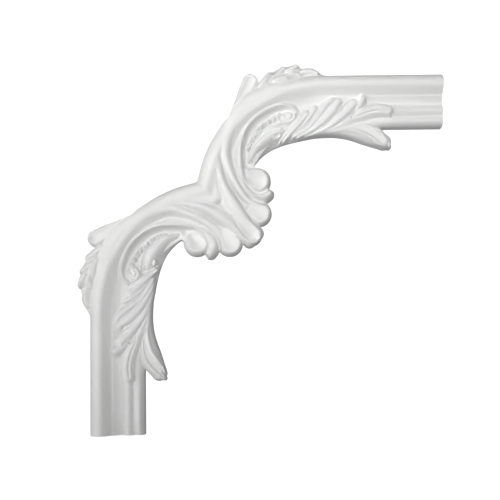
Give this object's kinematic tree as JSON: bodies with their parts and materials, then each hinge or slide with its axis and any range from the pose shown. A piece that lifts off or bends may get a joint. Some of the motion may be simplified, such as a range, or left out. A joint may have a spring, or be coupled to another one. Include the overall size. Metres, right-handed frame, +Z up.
{
  "type": "moulding corner",
  "caption": "Ornamental corner for wall and ceiling panel mouldings: two moulding arms meet in scrolls, leaves and a shell cusp, with a flat back.",
  "frame": {"origin": "on the flat back face, on the corner's diagonal line of symmetry, at the middle of the bend", "axes": "+Y into the wall, square to the back; +X along the right arm; +Z up, against the direction of the lower arm"},
  "size_m": [0.2718, 0.0205, 0.2718],
  "materials": {
    "white_casting": "factory-primed white, satin"
  },
  "bodies": {
    "root": {"moulding_corner": "white_casting"}
  },
  "joints": []
}
